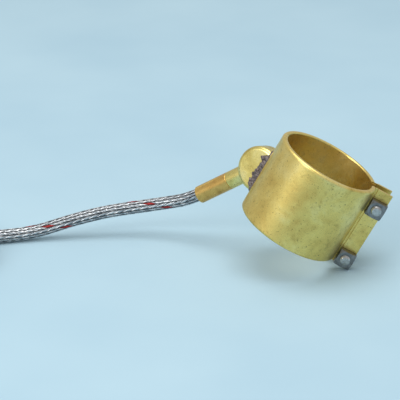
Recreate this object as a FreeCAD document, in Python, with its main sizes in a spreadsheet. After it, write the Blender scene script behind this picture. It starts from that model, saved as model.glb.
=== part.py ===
import FreeCAD, Part
import math
import os
import Sketcher
from FreeCAD import Placement, Rotation, Vector

# Brass nozzle band heater, 45 mm bore by 40 mm wide, lying as it comes to rest on a flat surface:
# tipped on the lower corners of its clamp lugs and propped by its lead. Millimetres and degrees.
# The row's origin is the centre of the bore, +Z is up and +X is the side that the band leans to.
# Each piece of the band is modelled about the bore's own axis, with the clamp on its +X side,
# and then leaned over. The lead's pieces on the floor are modelled where they lie.

doc = FreeCAD.newDocument("band_heater")
sheet = doc.addObject("Spreadsheet::Sheet", "sizes")

SIZES = {
    # the band
    "LeanAngle": 28.8,
    "BoreRadius": 22.5,
    "BandWidth": 40.0,
    "InnerWall": 0.5,
    "InnerMica": 0.35,
    "RibbonRoom": 0.55,
    "OuterMica": 0.36,
    "OuterWall": 0.7,
    "LayerClearance": 0.02,
    "RimBend": 1.2,
    "LipRound": 0.6,
    # the split and the clamp
    "SplitGap": 4.4,
    "LugReach": 8.4,
    "LugDrop": 1.3,
    "HemInset": 0.8,
    "FoldRound": 0.55,
    "UpperScrewHeight": 11.4,
    "ScrewPitch": 28.6,
    "NutSide": 8.0,
    "NutThickness": 4.0,
    "NutChamfer": 0.9,
    "NutStandoff": 0.3,
    "NotchClearance": 0.15,
    "ScrewDiameter": 5.0,
    "ScrewLength": 14.0,
    "ScrewTipRound": 1.1,
    "ThreadFit": 0.05,
    "HoleClearance": 0.25,
    "HeadDiameter": 8.5,
    "HeadHeight": 3.3,
    "HeadRound": 0.5,
    "SlotWidth": 1.2,
    "SlotDepth": 1.3,
    "WasherDiameter": 9.0,
    "WasherThickness": 1.0,
    # the heating ribbon, a flat meander in two rows
    "RibbonThickness": 0.15,
    "RibbonStrip": 1.6,
    "RibbonPeriods": 19,
    "RibbonStep": 17.5,
    "RibbonLead": 7,
    "RibbonRowLow": 1.6,
    "RibbonRowHigh": 16.6,
    # the terminal cap and its braze
    "CapAzimuth": 146.0,
    "CapStandoff": 2.5,
    "CapHeight": -4.2,
    "CapRadius": 11.0,
    "CapWidth": 10.4,
    "CapWall": 0.8,
    "CapRound": 1.9,
    "BrazeSpread": 1.1,
    "BrazeRise": 2.4,
    "BrazeTaper": 0.8,
    # the window under the cap
    "WindowWidth": 7.0,
    "WindowLow": 2.4,
    "WindowHigh": 5.4,
    # the lead's exit, measured along its own axis from the middle of the cap
    "ExitAngle": 58.0,
    "ExitOffset": 1.8,
    "LeadDiameter": 6.3,
    "NeckDiameter": 8.5,
    "NeckWall": 0.6,
    "NeckStart": 8.6,
    "NeckEnd": 18.6,
    "SleeveEnd": 37.0,
    "SleeveRound": 0.3,
    "SpigotLength": 5.0,
    "SleeveFit": 0.05,
    "CrimpRadius": 0.8,
    "CrimpDepth": 0.5,
    "CrimpStart": 23.5,
    "CrimpTurn": 135.0,
    "LeadStart": 24.0,
    # the cores and their terminals
    "CoreDiameter": 2.0,
    "ConductorDiameter": 1.5,
    "EarthOffset": 2.05,
    "EarthTagStart": 9.0,
    "EarthTagLength": 2.6,
    "EarthTagWidth": 1.6,
    "BarrelDiameter": 2.6,
    "BarrelFit": 0.05,
    "BarrelStart": -4.0,
    "BarrelEnd": 3.0,
    "ConductorStart": -0.5,
    "TabWidth": 1.55,
    "TabThickness": 0.2,
    "TabFoot": 3.2,
    "TabEnd": -1.0,
    # the coil of spare lead, two turns wide and two high, and its tie
    "CoilRadius": 32.85,
    "CoilCentreX": -196.0,
    "CoilCentreY": -16.0,
    "TieWidth": 3.6,
    "TieThickness": 0.8,
    "TieAzimuth": 215.0,
    # the far end of the lead
    "EndSleeveDiameter": 7.4,
    "EndSleeveLength": 14.0,
    "EndSleeveGrip": 6.5,
    "WireSpread": 1.2,
    "FerruleDiameter": 2.3,
    "FerruleLength": 9.0,
}
for row, (alias, value) in enumerate(SIZES.items(), start=1):
    sheet.set(f"A{row}", alias)
    sheet.set(f"B{row}", str(value))
    sheet.setAlias(f"B{row}", alias)
doc.recompute()


def size(alias):
    return float(sheet.get(alias))


# Derived sizes, as expressions on the sheet.
INNER_MICA_RADIUS = "(sizes.BoreRadius + sizes.InnerWall + sizes.LayerClearance)"
RIBBON_ROOM_RADIUS = f"({INNER_MICA_RADIUS} + sizes.InnerMica)"
OUTER_MICA_RADIUS = f"({RIBBON_ROOM_RADIUS} + sizes.RibbonRoom)"
SHEATH_INSIDE = f"({OUTER_MICA_RADIUS} + sizes.OuterMica + sizes.LayerClearance)"
OUTER_RADIUS = f"({SHEATH_INSIDE} + sizes.OuterWall)"
HALF_WIDTH = "(sizes.BandWidth / 2)"
LAYER_HALF = "(sizes.BandWidth / 2 - sizes.OuterWall - sizes.LayerClearance)"
HALF_GAP = "(sizes.SplitGap / 2)"
LUG_BACK = "(sizes.SplitGap / 2 + sizes.InnerWall + sizes.LayerClearance)"
LUG_FRONT = f"({LUG_BACK} + sizes.OuterWall)"
HEM_FRONT = f"({LUG_FRONT} + sizes.OuterWall)"
LUG_EDGE = f"({OUTER_RADIUS} + sizes.LugReach)"
SCREW_RADIUS = f"({OUTER_RADIUS} + sizes.NutStandoff + sizes.NutSide / 2)"
UPPER_SCREW = "sizes.UpperScrewHeight"
LOWER_SCREW = "(sizes.UpperScrewHeight - sizes.ScrewPitch)"
RIBBON_INSIDE = f"({RIBBON_ROOM_RADIUS} + sizes.LayerClearance)"
RIBBON_OUTSIDE = f"({RIBBON_INSIDE} + sizes.RibbonThickness)"
FACET = f"({RIBBON_OUTSIDE} * tan(sizes.RibbonStep * 0.5deg))"
RIBBON_LEG = f"({FACET} / 2)"
LEAD_RADIUS = "(sizes.LeadDiameter / 2)"
NECK_RADIUS = "(sizes.NeckDiameter / 2)"


def number(expression):
    """The value of an expression on the sheet, for what can't be bound to it."""
    return float(sheet.evalExpression(expression))


# The places of the band, the cap and the lead's exit.
LEAN = Placement(Vector(), Rotation(Vector(0, 1, 0), size("LeanAngle")))
CAP_PLACE = (
    LEAN
    * Placement(Vector(), Rotation(Vector(0, 0, 1), size("CapAzimuth")))
    * Placement(Vector(number(OUTER_RADIUS) + size("CapStandoff"), 0, size("CapHeight")), Rotation())
)
# In this frame +Z runs out along the lead, +Y along the band's rim and -X up and away from the band.
EXIT_PLACE = (
    CAP_PLACE
    * Placement(Vector(), Rotation(Vector(0, 1, 0), 90 + size("ExitAngle")))
    * Placement(Vector(-size("ExitOffset"), 0, 0), Rotation())
)
FLOOR = (LEAN * Vector(number(LUG_EDGE), 0, -number(HALF_WIDTH) - size("LugDrop"))).z


def body(label, placement=LEAN):
    piece = doc.addObject("PartDesign::Body", label)
    piece.Label = label
    piece.Placement = placement
    return piece


def sketch(piece, name, plane, turn=None):
    """An empty sketch on one of the body's origin planes, turned about the plane's own upright."""
    drawing = piece.newObject("Sketcher::SketchObject", name)
    origin_plane = next(f for f in piece.Origin.OriginFeatures if f.Role == plane)
    drawing.AttachmentSupport = [(origin_plane, "")]
    drawing.MapMode = "FlatFace"
    if turn is not None:
        drawing.AttachmentOffset = Placement(Vector(), turn)
    return drawing


def bind(drawing, kind, geometry, point, expression):
    """A distance from the sketch's origin to a point, bound to an expression."""
    index = drawing.addConstraint(Sketcher.Constraint(kind, -1, 1, geometry, point, 1.0))
    drawing.setDatum(index, number(expression))
    drawing.setExpression(f"Constraints[{index}]", expression)


def outline(drawing, corners):
    """A closed outline through corners, each given as two expressions."""
    first = drawing.GeometryCount
    places = [Vector(number(x), number(y), 0) for x, y in corners]
    for start, end in zip(places, places[1:] + places[:1]):
        drawing.addGeometry(Part.LineSegment(start, end))
    count = len(corners)
    for side in range(count):
        drawing.addConstraint(
            Sketcher.Constraint("Coincident", first + side, 2, first + (side + 1) % count, 1)
        )
    for side, (x, y) in enumerate(corners):
        bind(drawing, "DistanceX", first + side, 1, x)
        bind(drawing, "DistanceY", first + side, 1, y)
    return drawing


def rectangle(drawing, x_low, x_high, y_low, y_high):
    return outline(drawing, [(x_low, y_low), (x_high, y_low), (x_high, y_high), (x_low, y_high)])


def circle(drawing, x, y, radius):
    geometry = drawing.GeometryCount
    centre = Vector(number(x), number(y), 0)
    drawing.addGeometry(Part.Circle(centre, Vector(0, 0, 1), number(radius)))
    bind(drawing, "DistanceX", geometry, 3, x)
    bind(drawing, "DistanceY", geometry, 3, y)
    index = drawing.addConstraint(Sketcher.Constraint("Radius", geometry, number(radius)))
    drawing.setExpression(f"Constraints[{index}]", radius)
    return drawing


def revolve(piece, name, profile, kind="Revolution"):
    feature = piece.newObject(f"PartDesign::{kind}", name)
    feature.Profile = profile
    feature.ReferenceAxis = (profile, ["V_Axis"])
    feature.Angle = 360
    doc.recompute()
    return feature


def extrude(piece, name, profile, length, back=None, kind="Pad", symmetric=False, flip=False):
    """A pad or pocket of a length, on both sides of the sketch where back or symmetric says so."""
    feature = piece.newObject(f"PartDesign::{kind}", name)
    feature.Profile = profile
    feature.setExpression("Length", length)
    feature.Reversed = flip
    if symmetric:
        feature.SideType = "Symmetric"
    if back is not None:
        feature.SideType = "Two sides"
        feature.setExpression("Length2", back)
    before = None if feature.BaseFeature is None else feature.BaseFeature.Shape.Volume
    doc.recompute()
    if kind == "Pocket" and before - feature.Shape.Volume < 1e-3:
        raise RuntimeError(f"{name} cuts nothing")
    return feature


def dress(piece, name, base, kind, measure, wanted):
    """A fillet or chamfer on the edges of base that wanted picks."""
    edges = [f"Edge{i}" for i, edge in enumerate(base.Shape.Edges, start=1) if wanted(edge)]
    if not edges:
        raise RuntimeError(f"{name} finds no edge")
    feature = piece.newObject(f"PartDesign::{kind}", name)
    feature.Base = (base, edges)
    feature.setExpression("Radius" if kind == "Fillet" else "Size", measure)
    doc.recompute()
    return feature


def part(kind, name, sizes, placement=None):
    """A Part primitive with its sizes bound to expressions."""
    solid = doc.addObject(f"Part::{kind}", name)
    for key, expression in sizes.items():
        solid.setExpression(key, expression)
    if placement is not None:
        solid.Placement = placement
    doc.recompute()
    return solid


def cut(name, base, tools, placement=None):
    """The base less each of the tools."""
    for index, tool in enumerate(tools):
        result = doc.addObject("Part::Cut", name if index == len(tools) - 1 else f"{name}_less_{index}")
        result.Base = base
        result.Tool = tool
        base = result
    base.Label = name
    if placement is not None:
        base.Placement = placement
    doc.recompute()
    return base


def near(value, target):
    return abs(value - target) < 1e-3


def on_circle(edge, radius, height):
    box = edge.BoundBox
    return (
        isinstance(edge.Curve, Part.Circle)
        and near(edge.Curve.Radius, radius)
        and near(box.ZMin, height)
        and near(box.ZMax, height)
    )


# The outer sheath is one brass strip, rolled round with its two rims turned in to the bore. Its ends
# are turned out into the clamp's lugs and hemmed, and the near lug's hem is notched for the nuts.
outer_sheath = body("outer_sheath")
profile = outline(
    sketch(outer_sheath, "channel_section", "XZ_Plane"),
    [
        ("sizes.BoreRadius", f"-{HALF_WIDTH}"),
        (OUTER_RADIUS, f"-{HALF_WIDTH}"),
        (OUTER_RADIUS, HALF_WIDTH),
        ("sizes.BoreRadius", HALF_WIDTH),
        ("sizes.BoreRadius", f"{HALF_WIDTH} - sizes.OuterWall"),
        (SHEATH_INSIDE, f"{HALF_WIDTH} - sizes.OuterWall"),
        (SHEATH_INSIDE, f"sizes.OuterWall - {HALF_WIDTH}"),
        ("sizes.BoreRadius", f"sizes.OuterWall - {HALF_WIDTH}"),
    ],
)
channel = revolve(outer_sheath, "channel", profile)
half_width = number(HALF_WIDTH)
rims = dress(
    outer_sheath, "rolled_rims", channel, "Fillet", "sizes.RimBend",
    lambda e: any(on_circle(e, number(OUTER_RADIUS), z) for z in (half_width, -half_width)),
)
lips = dress(
    outer_sheath, "lip_rounds", rims, "Fillet", "sizes.LipRound",
    lambda e: any(on_circle(e, size("BoreRadius"), z) for z in (half_width, -half_width)),
)
split = rectangle(
    sketch(outer_sheath, "split_plan", "XY_Plane"), "0", LUG_EDGE, f"-{LUG_BACK}", LUG_BACK
)
extrude(outer_sheath, "split", split, "sizes.BandWidth * 2", kind="Pocket", symmetric=True)
lug_plan = sketch(outer_sheath, "lug_plan", "XY_Plane")
for side, other in (("-", "-"), ("", "")):
    low, high = (LUG_BACK, LUG_FRONT) if side == "" else (f"-{LUG_FRONT}", f"-{LUG_BACK}")
    rectangle(lug_plan, SHEATH_INSIDE, LUG_EDGE, low, high)
extrude(outer_sheath, "lugs", lug_plan, HALF_WIDTH, back=f"{HALF_WIDTH} + sizes.LugDrop")
hem_plan = sketch(outer_sheath, "hem_plan", "XY_Plane")
hem_root = f"{OUTER_RADIUS} + sizes.HemInset"
rectangle(hem_plan, hem_root, LUG_EDGE, LUG_FRONT, HEM_FRONT)
rectangle(hem_plan, hem_root, LUG_EDGE, f"-{HEM_FRONT}", f"-{LUG_FRONT}")
hems = extrude(outer_sheath, "hems", hem_plan, HALF_WIDTH, back=f"{HALF_WIDTH} + sizes.LugDrop")


def on_fold(edge):
    box = edge.BoundBox
    ends = (number(LUG_BACK), number(HEM_FRONT))
    return (
        near(box.XMin, number(LUG_EDGE))
        and near(box.XMax, number(LUG_EDGE))
        and box.ZLength > size("BandWidth")
        and any(near(abs(box.YMin), y) and near(box.YLength, 0) for y in ends)
    )


dress(outer_sheath, "folds", hems, "Fillet", "sizes.FoldRound", on_fold)
notch_plan = sketch(outer_sheath, "notch_plan", "XZ_Plane")
notch_half = "(sizes.NutSide / 2 + sizes.NotchClearance)"
notch_in = f"{OUTER_RADIUS} + sizes.NutStandoff / 2"
notch_out = f"{LUG_EDGE} + sizes.LugReach"
rectangle(notch_plan, notch_in, notch_out, f"{UPPER_SCREW} - {notch_half}", f"{UPPER_SCREW} + {notch_half}")
rectangle(
    notch_plan, notch_in, notch_out,
    f"-{HALF_WIDTH} - sizes.LugDrop - sizes.OuterWall", f"{LOWER_SCREW} + {notch_half}",
)
notch_plan.AttachmentOffset = Placement(Vector(0, 0, number(LUG_FRONT)), Rotation())
notch_plan.setExpression("AttachmentOffset.Base.z", LUG_FRONT)
extrude(outer_sheath, "nut_notches", notch_plan, "sizes.OuterWall * 2", kind="Pocket", flip=True)
hole_plan = sketch(outer_sheath, "hole_plan", "XZ_Plane")
for height in (UPPER_SCREW, LOWER_SCREW):
    circle(hole_plan, SCREW_RADIUS, height, "sizes.ScrewDiameter / 2 + sizes.HoleClearance")
extrude(outer_sheath, "screw_holes", hole_plan, f"{HEM_FRONT} * 4", kind="Pocket", symmetric=True)


def cut_window(piece):
    """The opening under the terminal cap that the two terminal tabs come out through."""
    turn = Rotation(Vector(0, 1, 0), size("CapAzimuth"))
    window = rectangle(
        sketch(piece, f"{piece.Label}_window_plan", "YZ_Plane", turn),
        "-sizes.WindowWidth / 2", "sizes.WindowWidth / 2", "sizes.WindowLow", "sizes.WindowHigh",
    )
    reach = f"{OUTER_RADIUS} + sizes.CapStandoff"
    extrude(piece, f"{piece.Label}_window", window, reach, kind="Pocket", flip=True)


cut_window(outer_sheath)

# The inner sheath lines the bore. Its ends are turned out across the split and close the layers in.
inner_sheath = body("inner_sheath")
profile = rectangle(
    sketch(inner_sheath, "liner_section", "XZ_Plane"),
    "sizes.BoreRadius", "sizes.BoreRadius + sizes.InnerWall", f"-{LAYER_HALF}", LAYER_HALF,
)
revolve(inner_sheath, "liner", profile)
split = rectangle(
    sketch(inner_sheath, "liner_split_plan", "XY_Plane"), "0", LUG_EDGE, f"-{HALF_GAP}", HALF_GAP
)
extrude(inner_sheath, "liner_split", split, "sizes.BandWidth * 2", kind="Pocket", symmetric=True)
end_plan = sketch(inner_sheath, "end_plan", "XY_Plane")
bore_edge = f"sqrt(sizes.BoreRadius ^ 2 - {HALF_GAP} ^ 2)"
rectangle(end_plan, bore_edge, OUTER_RADIUS, HALF_GAP, f"{HALF_GAP} + sizes.InnerWall")
rectangle(end_plan, bore_edge, OUTER_RADIUS, f"-{HALF_GAP} - sizes.InnerWall", f"-{HALF_GAP}")
extrude(inner_sheath, "turned_ends", end_plan, f"{LAYER_HALF} * 2", symmetric=True)


def layer(label, inside, thickness):
    """A mica sheet rolled round the bore and open at the split."""
    sheet_body = body(label)
    section = rectangle(
        sketch(sheet_body, f"{label}_section", "XZ_Plane"),
        inside, f"{inside} + {thickness}", f"-{LAYER_HALF}", LAYER_HALF,
    )
    revolve(sheet_body, f"{label}_roll", section)
    opening = rectangle(
        sketch(sheet_body, f"{label}_split_plan", "XY_Plane"), "0", LUG_EDGE, f"-{LUG_BACK}", LUG_BACK
    )
    extrude(
        sheet_body, f"{label}_split", opening, "sizes.BandWidth * 2", kind="Pocket", symmetric=True
    )
    return sheet_body


inner_mica = layer("inner_mica", INNER_MICA_RADIUS, "sizes.InnerMica")
outer_mica = layer("outer_mica", OUTER_MICA_RADIUS, "sizes.OuterMica")
cut_window(outer_mica)

# The heating ribbon runs to and fro in two rows between the mica sheets: from one terminal along the
# upper row to the split, right round in the lower row, and back along the upper row to the other
# terminal. Each period is a flat facet, and the upper row is open at the facet under the cap.
ribbon_place = LEAN * Placement(
    Vector(), Rotation(Vector(0, 0, 1), size("CapAzimuth") - size("RibbonLead") * size("RibbonStep"))
)
heating_ribbon = body("heating_ribbon", ribbon_place)
strip = "(sizes.RibbonStrip / 2)"


def facet_sketch(name, step):
    """A sketch on the facet that lies so many steps round from the first."""
    turn = step * size("RibbonStep")
    drawing = sketch(heating_ribbon, name, "YZ_Plane")
    middle = Rotation(Vector(0, 1, 0), turn).multVec(Vector(0, 0, number(RIBBON_INSIDE)))
    drawing.AttachmentOffset = Placement(middle, Rotation(Vector(0, 1, 0), turn))
    return drawing


row_plan = facet_sketch("row_plan", 0)
for sign in ("", "-"):
    low = f"{sign}(sizes.RibbonRowLow - {strip})"
    low_in = f"{sign}(sizes.RibbonRowLow + {strip})"
    high = f"{sign}(sizes.RibbonRowHigh + {strip})"
    high_in = f"{sign}(sizes.RibbonRowHigh - {strip})"
    outline(
        row_plan,
        [
            (f"-{FACET}", low), (f"{strip} - {RIBBON_LEG}", low), (f"{strip} - {RIBBON_LEG}", high_in),
            (f"{RIBBON_LEG} - {strip}", high_in), (f"{RIBBON_LEG} - {strip}", low), (FACET, low),
            (FACET, low_in), (f"{RIBBON_LEG} + {strip}", low_in), (f"{RIBBON_LEG} + {strip}", high),
            (f"-{RIBBON_LEG} - {strip}", high), (f"-{RIBBON_LEG} - {strip}", low_in),
            (f"-{FACET}", low_in),
        ],
    )
period = extrude(heating_ribbon, "period", row_plan, "sizes.RibbonThickness")
row_axis = sketch(heating_ribbon, "row_axis", "XY_Plane")
rows = heating_ribbon.newObject("PartDesign::PolarPattern", "rows")
rows.Originals = [period]
rows.Axis = (row_axis, ["N_Axis"])
rows.setExpression("Angle", "sizes.RibbonStep * (sizes.RibbonPeriods - 1)")
rows.setExpression("Occurrences", "sizes.RibbonPeriods")
heating_ribbon.Tip = rows
doc.recompute()
for name, step, near_edge, far_edge in (
    ("first_link", 0, f"-{FACET}", f"sizes.RibbonStrip - {FACET}"),
    ("last_link", size("RibbonPeriods") - 1, f"{FACET} - sizes.RibbonStrip", FACET),
):
    link = rectangle(
        facet_sketch(f"{name}_plan", step), near_edge, far_edge,
        f"-sizes.RibbonRowLow - {strip}", f"sizes.RibbonRowLow + {strip}",
    )
    extrude(heating_ribbon, name, link, "sizes.RibbonThickness")
opening = rectangle(
    facet_sketch("opening_plan", size("RibbonLead")), f"{strip} - {RIBBON_LEG}", f"{RIBBON_LEG} - {strip}",
    f"sizes.RibbonRowHigh - sizes.RibbonStrip", "sizes.RibbonRowHigh + sizes.RibbonStrip",
)
extrude(heating_ribbon, "opening", opening, "sizes.RibbonThickness * 4", kind="Pocket", flip=True)


# A clamp screw, its washer and its square nut stand on one line through the lugs. In their frame
# +Z runs along that line out of the near lug's face, where the nut is.
def clamp_fasteners(where, height):
    line = LEAN * Placement(Vector(number(SCREW_RADIUS), 0, number(height)), Rotation(Vector(1, 0, 0), 90))
    shank = "(sizes.ScrewDiameter / 2)"
    seat = f"(-{HEM_FRONT} - sizes.WasherThickness)"
    screw = body(f"clamp_screw_{where}", line)
    profile = outline(
        sketch(screw, f"screw_section_{where}", "XZ_Plane"),
        [
            ("0", f"{seat} - sizes.HeadHeight"),
            ("sizes.HeadDiameter / 2", f"{seat} - sizes.HeadHeight"),
            ("sizes.HeadDiameter / 2", seat),
            (shank, seat),
            (shank, f"{seat} + sizes.ScrewLength"),
            ("0", f"{seat} + sizes.ScrewLength"),
        ],
    )
    turned = revolve(screw, f"screw_turned_{where}", profile)
    tip = dress(
        screw, f"screw_tip_{where}", turned, "Fillet", "sizes.ScrewTipRound",
        lambda e: on_circle(e, number(shank), number(f"{seat} + sizes.ScrewLength")),
    )
    dress(
        screw, f"screw_head_{where}", tip, "Fillet", "sizes.HeadRound",
        lambda e: on_circle(e, size("HeadDiameter") / 2, number(f"{seat} - sizes.HeadHeight")),
    )
    slot = rectangle(
        sketch(screw, f"slot_plan_{where}", "XZ_Plane"),
        "-sizes.SlotWidth / 2", "sizes.SlotWidth / 2",
        f"{seat} - sizes.HeadHeight - sizes.SlotDepth", f"{seat} - sizes.HeadHeight + sizes.SlotDepth",
    )
    extrude(screw, f"slot_{where}", slot, "sizes.HeadDiameter * 2", kind="Pocket", symmetric=True)

    washer = body(f"washer_{where}", line)
    profile = rectangle(
        sketch(washer, f"washer_section_{where}", "XZ_Plane"),
        f"{shank} + sizes.HoleClearance", "sizes.WasherDiameter / 2", seat, f"-{HEM_FRONT}",
    )
    revolve(washer, f"washer_turned_{where}", profile)

    nut = body(f"square_nut_{where}", line)
    face = f"({LUG_FRONT} + sizes.NutThickness)"
    plan = rectangle(
        sketch(nut, f"nut_plan_{where}", "XY_Plane"),
        "-sizes.NutSide / 2", "sizes.NutSide / 2", "-sizes.NutSide / 2", "sizes.NutSide / 2",
    )
    extrude(nut, f"nut_block_{where}", plan, face)
    below = circle(sketch(nut, f"nut_back_{where}", "XY_Plane"), "0", "0", "sizes.NutSide")
    extrude(nut, f"nut_seat_{where}", below, LUG_FRONT, kind="Pocket", flip=True)
    bore = circle(
        sketch(nut, f"nut_hole_{where}", "XY_Plane"), "0", "0", f"{shank} + sizes.ThreadFit"
    )
    extrude(nut, f"nut_bore_{where}", bore, f"{face} * 2", kind="Pocket", symmetric=True)
    corner = outline(
        sketch(nut, f"nut_corner_{where}", "XZ_Plane"),
        [
            ("sizes.NutSide / 2", face),
            ("sizes.NutSide", f"{face} - sizes.NutChamfer * 2.4"),
            ("sizes.NutSide", face),
        ],
    )
    revolve(nut, f"nut_cone_{where}", corner, "Groove")


clamp_fasteners("upper", UPPER_SCREW)
clamp_fasteners("lower", LOWER_SCREW)



def drum(name, grown):
    """The cap's outer form, a cylinder across the band with rounded rims, grown by a clearance."""
    across = Placement(
        Vector(0, -size("CapWidth") / 2 - number(grown), 0), Rotation(Vector(1, 0, 0), -90)
    )
    cylinder = part(
        "Cylinder", f"{name}_blank",
        {"Radius": f"sizes.CapRadius + {grown}", "Height": f"sizes.CapWidth + {grown} * 2"},
        CAP_PLACE * across,
    )
    rounded = doc.addObject("Part::Fillet", name)
    rounded.Base = cylinder
    radius = size("CapRound") + number(grown)
    rounded.Edges = [
        (index, radius, radius)
        for index, edge in enumerate(cylinder.Shape.Edges, start=1)
        if isinstance(edge.Curve, Part.Circle)
    ]
    doc.recompute()
    return rounded


def band_core(name, radius):
    """A plug as large as the band, which trims what stands on the band."""
    low = LEAN * Placement(Vector(0, 0, -size("BandWidth")), Rotation())
    return part("Cylinder", name, {"Radius": radius, "Height": "sizes.BandWidth * 2"}, low)


# The terminal cap is a drawn brass drum lying crosswise on the band and open to it.
cap_drum = drum("cap_drum", "0")
hollow_place = CAP_PLACE * Placement(
    Vector(0, size("CapWall") - size("CapWidth") / 2, 0), Rotation(Vector(1, 0, 0), -90)
)
cap_hollow = part(
    "Cylinder", "cap_hollow",
    {"Radius": "sizes.CapRadius - sizes.CapWall", "Height": "sizes.CapWidth - sizes.CapWall * 2"},
    hollow_place,
)
cap_seat = band_core("cap_seat", f"{OUTER_RADIUS} + sizes.LayerClearance")
neck_hole = part(
    "Cylinder", "neck_hole", {"Radius": NECK_RADIUS, "Height": "sizes.NeckEnd"}, EXIT_PLACE
)
terminal_cap = cut("terminal_cap", cap_drum, [cap_hollow, cap_seat, neck_hole])

# The braze runs round the cap's foot in one concave bead.
foot_joint = doc.addObject("Part::Fuse", "foot_joint")
foot_joint.Base = cap_seat
foot_joint.Tool = cap_drum
doc.recompute()
band_axis = LEAN.Rotation.multVec(Vector(0, 0, 1))


def at_cap_foot(edge):
    """Whether an edge lies on the band's surface under the cap's outline."""
    middle = edge.valueAt((edge.FirstParameter + edge.LastParameter) / 2)
    inside = (middle - CAP_PLACE.Base).Length < size("CapRadius") + size("CapStandoff")
    distance = (middle - band_axis * middle.dot(band_axis)).Length
    return inside and near(distance, number(f"{OUTER_RADIUS} + sizes.LayerClearance"))


foot_fillet = doc.addObject("Part::Fillet", "foot_fillet")
foot_fillet.Base = foot_joint
foot_fillet.Edges = [
    (index, size("BrazeRise"), size("BrazeRise"))
    for index, edge in enumerate(foot_joint.Shape.Edges, start=1)
    if at_cap_foot(edge)
]
doc.recompute()
bead_core = band_core("bead_core", f"{OUTER_RADIUS} + sizes.LayerClearance * 2")
bead_drum = drum("bead_drum", "sizes.LayerClearance")
braze_bead = cut("braze_bead", foot_fillet, [bead_core, bead_drum])


# The neck stands in the cap's wall, and the crimp sleeve butts on it with a spigot inside.
def turned(label, place, corners):
    """A piece turned about its own Z, from the corners of its section."""
    piece = body(label, place)
    revolve(piece, f"{label}_turned", outline(sketch(piece, f"{label}_section", "XZ_Plane"), corners))
    return piece


def tube_corners(inside, outside, low, high):
    return [(inside, low), (outside, low), (outside, high), (inside, high)]


cap_neck = turned(
    "cap_neck", EXIT_PLACE,
    tube_corners(f"{NECK_RADIUS} - sizes.NeckWall", NECK_RADIUS, "sizes.NeckStart", "sizes.NeckEnd"),
)
dress(
    cap_neck, "neck_round", cap_neck.Tip, "Fillet", "sizes.SleeveRound",
    lambda e: on_circle(e, number(NECK_RADIUS), size("NeckEnd")),
)
sleeve_bore = f"{LEAD_RADIUS} + sizes.SleeveFit"
spigot = f"{NECK_RADIUS} - sizes.NeckWall - sizes.SleeveFit"
spigot_end = "sizes.NeckEnd - sizes.SpigotLength"
sleeve_blank = turned(
    "sleeve_blank", EXIT_PLACE,
    [
        (sleeve_bore, spigot_end), (spigot, spigot_end), (spigot, "sizes.NeckEnd"),
        (NECK_RADIUS, "sizes.NeckEnd"), (NECK_RADIUS, "sizes.SleeveEnd"),
        (sleeve_bore, "sizes.SleeveEnd"),
    ],
)
dress(
    sleeve_blank, "sleeve_rounds", sleeve_blank.Tip, "Fillet", "sizes.SleeveRound",
    lambda e: any(on_circle(e, number(NECK_RADIUS), size(end)) for end in ("NeckEnd", "SleeveEnd")),
)
crimp_reach = number(NECK_RADIUS) + size("CrimpRadius") - size("CrimpDepth")
crimp_place = (
    EXIT_PLACE
    * Placement(Vector(), Rotation(Vector(0, 0, 1), size("CrimpTurn")))
    * Placement(Vector(crimp_reach, 0, size("CrimpStart")), Rotation())
)
crimp_groove = part(
    "Cylinder", "crimp_groove", {"Radius": "sizes.CrimpRadius", "Height": "sizes.SleeveEnd"}, crimp_place
)
crimp_sleeve = cut("crimp_sleeve", sleeve_blank, [crimp_groove])

# Inside the cap: a nickel tab from each end of the ribbon, a crimp barrel on it and a core in that.
# The earth core's bared end lies on a tag in the neck.
tab_start = (
    f"((({RIBBON_OUTSIDE} + sizes.TabThickness / 2) - {OUTER_RADIUS} - sizes.CapStandoff"
    f" - sizes.ExitOffset * sin(sizes.ExitAngle * 1deg)) / cos(sizes.ExitAngle * 1deg))"
)
foot_low = (
    f"(sizes.ExitOffset * cos(sizes.ExitAngle * 1deg) - {tab_start} * sin(sizes.ExitAngle * 1deg))"
)
for line, side in (("line", 1), ("neutral", -1)):
    across = side * number(RIBBON_LEG)
    foot_inside = number(RIBBON_OUTSIDE) - number(OUTER_RADIUS) - size("CapStandoff")
    foot = part(
        "Box", f"{line}_tab_foot",
        {"Length": "sizes.TabThickness", "Width": "sizes.TabWidth", "Height": "sizes.TabFoot"},
        CAP_PLACE
        * Placement(Vector(foot_inside, across - size("TabWidth") / 2, number(foot_low)), Rotation()),
    )
    arm = part(
        "Box", f"{line}_tab_arm",
        {
            "Length": "sizes.TabThickness", "Width": "sizes.TabWidth",
            "Height": f"sizes.TabEnd - {tab_start}",
        },
        EXIT_PLACE
        * Placement(
            Vector(-size("TabThickness") / 2, across - size("TabWidth") / 2, number(tab_start)),
            Rotation(),
        ),
    )
    tab = doc.addObject("Part::Fuse", f"{line}_tab")
    tab.Base = foot
    tab.Tool = arm
    core_line = EXIT_PLACE * Placement(Vector(0, across, 0), Rotation())
    turned(
        f"{line}_barrel", core_line,
        tube_corners(
            "sizes.ConductorDiameter / 2 + sizes.BarrelFit", "sizes.BarrelDiameter / 2",
            "sizes.BarrelStart", "sizes.BarrelEnd",
        ),
    )


def core_corners(bare_from, covered_from, end):
    """The section of a straight core whose conductor is bared at its start."""
    return [
        ("0", bare_from), ("sizes.ConductorDiameter / 2", bare_from),
        ("sizes.ConductorDiameter / 2", covered_from), ("sizes.CoreDiameter / 2", covered_from),
        ("sizes.CoreDiameter / 2", end), ("0", end),
    ]


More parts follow.
